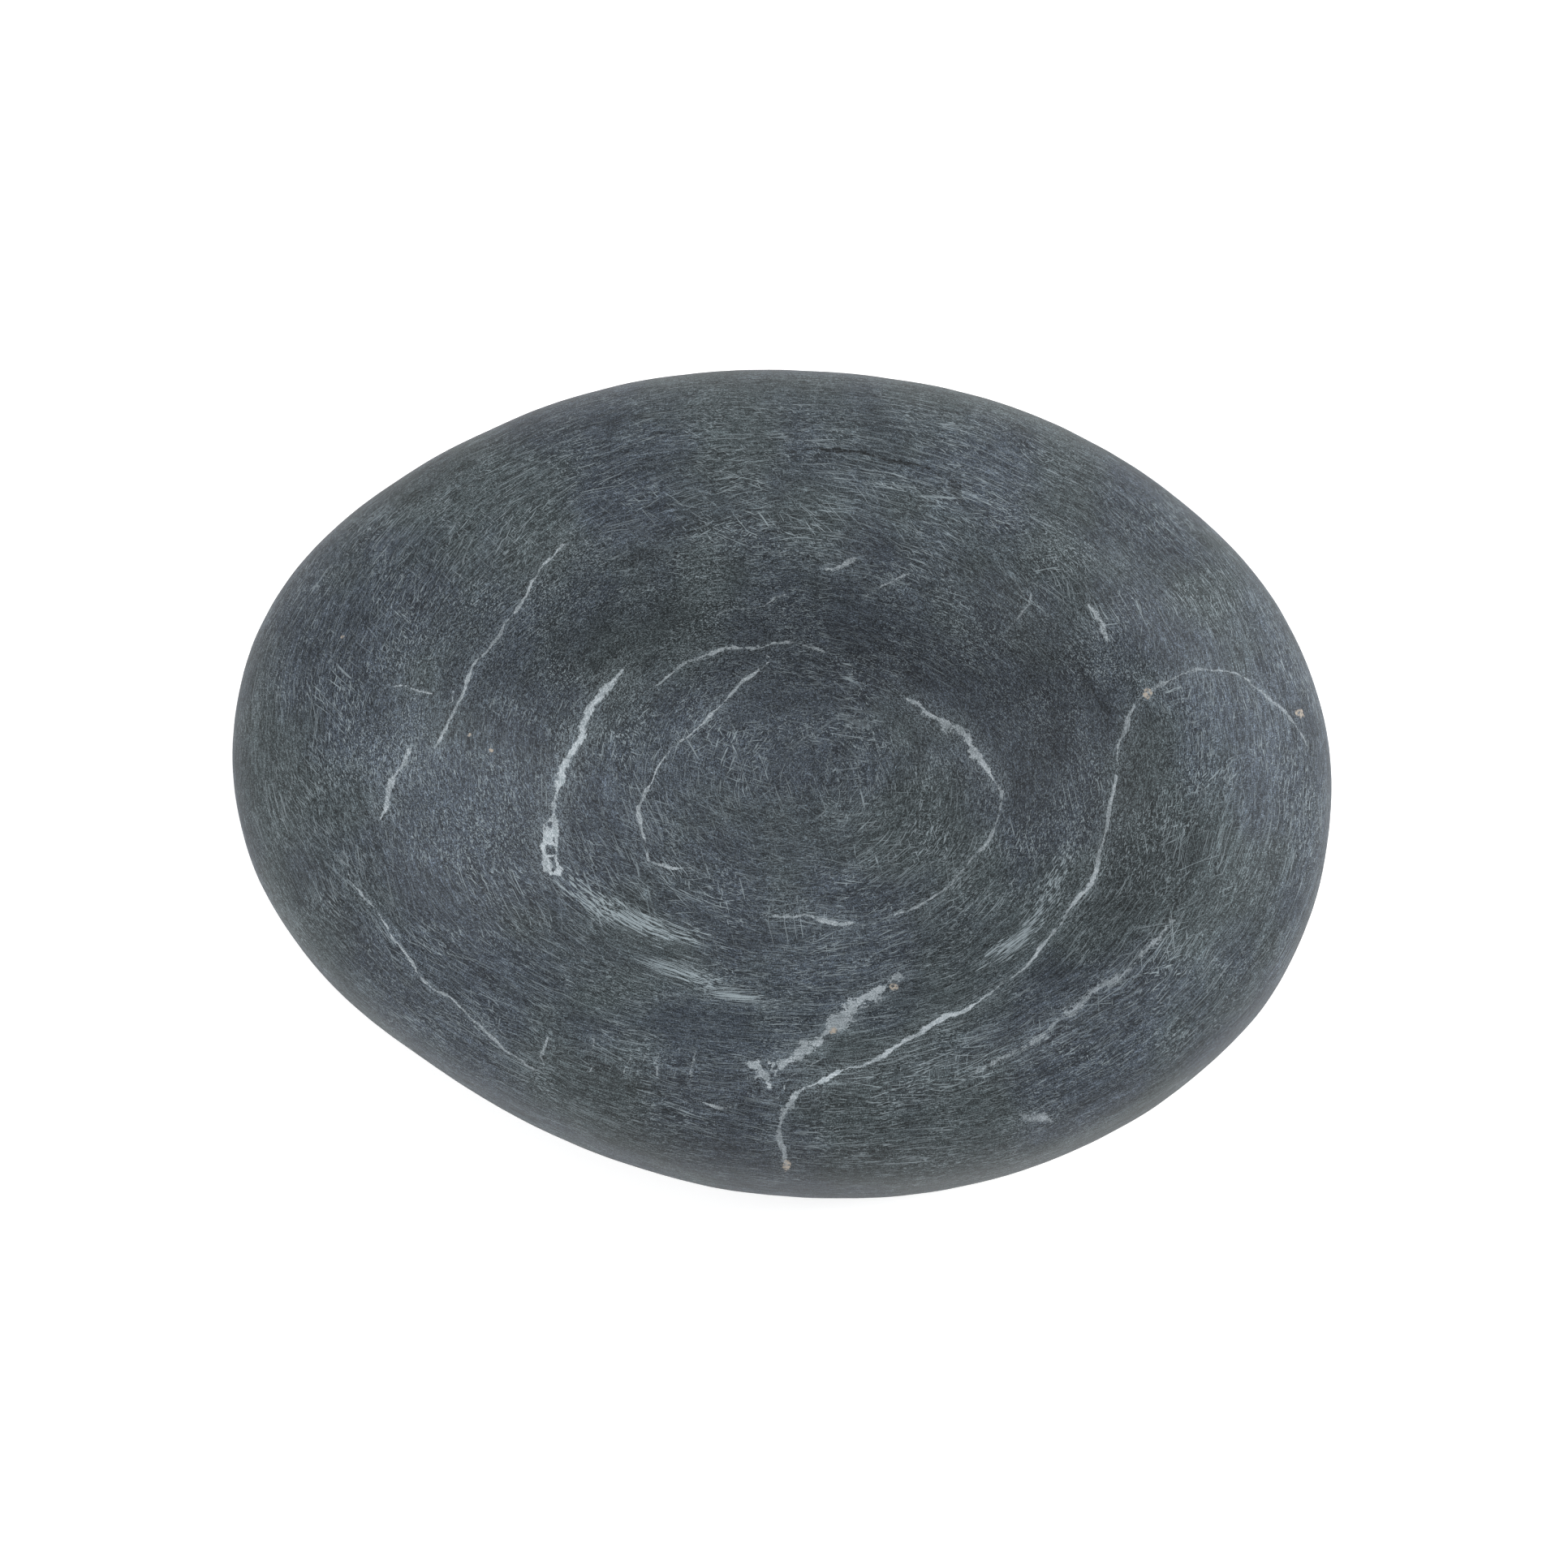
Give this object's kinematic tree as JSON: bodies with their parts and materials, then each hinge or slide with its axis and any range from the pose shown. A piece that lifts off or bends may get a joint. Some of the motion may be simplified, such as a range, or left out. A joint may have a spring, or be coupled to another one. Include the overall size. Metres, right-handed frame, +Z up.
{
  "type": "massage stone",
  "caption": "Hand-held oval massage stone of dark veined rock, with a broad shallow hollow in its top and a flat underside to rest on.",
  "frame": {"origin": "middle of the stone's box, on the surface that it rests on", "axes": "+X along the long axis, towards the broader end of the rim; +Y across, towards the broad side of the rim; +Z up, out of the hollow"},
  "size_m": [0.1, 0.076, 0.032],
  "materials": {
    "dark_stone": "satin, brushed in curved strokes, with white veins"
  },
  "bodies": {
    "root": {"stone": "dark_stone"}
  },
  "joints": []
}
